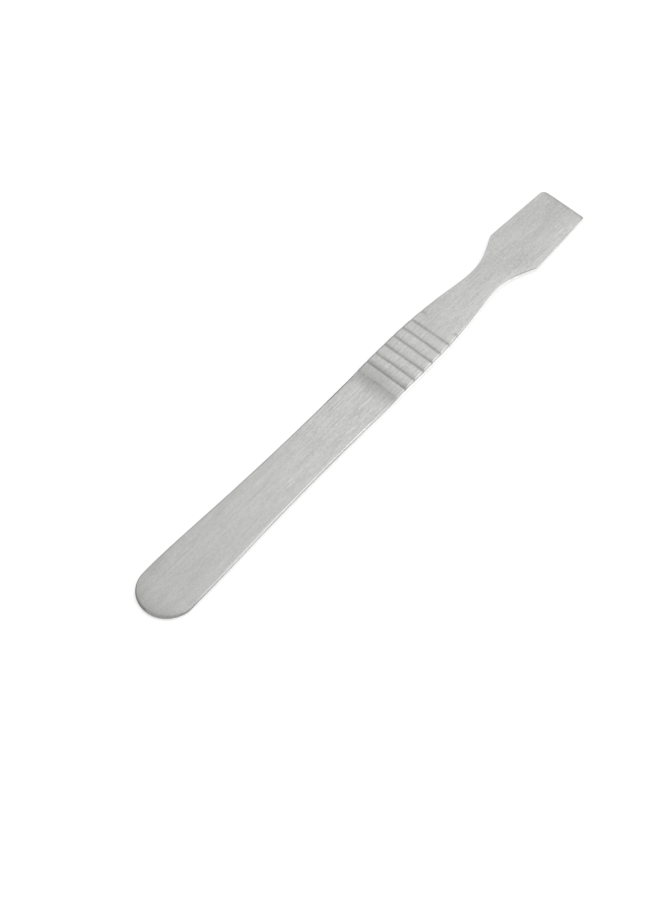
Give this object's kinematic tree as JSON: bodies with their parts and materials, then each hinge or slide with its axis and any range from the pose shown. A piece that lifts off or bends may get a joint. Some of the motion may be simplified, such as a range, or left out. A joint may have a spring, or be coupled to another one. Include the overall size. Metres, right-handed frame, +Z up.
{
  "type": "spudger",
  "caption": "Flat stainless-steel pry tool with a rounded handle end, a ribbed thumb grip, a narrow neck and a thin spade-shaped prying tip.",
  "frame": {"origin": "middle of the length and of the width, on the flat underside that the tool lies on", "axes": "+X along the tool towards the prying tip, +Z up through the thickness, away from the underside; +Y is to the left when looking along +X"},
  "size_m": [0.122, 0.012, 0.0015],
  "materials": {
    "steel": "satin, brushed along the length"
  },
  "bodies": {
    "root": {"spudger": "steel"}
  },
  "joints": []
}
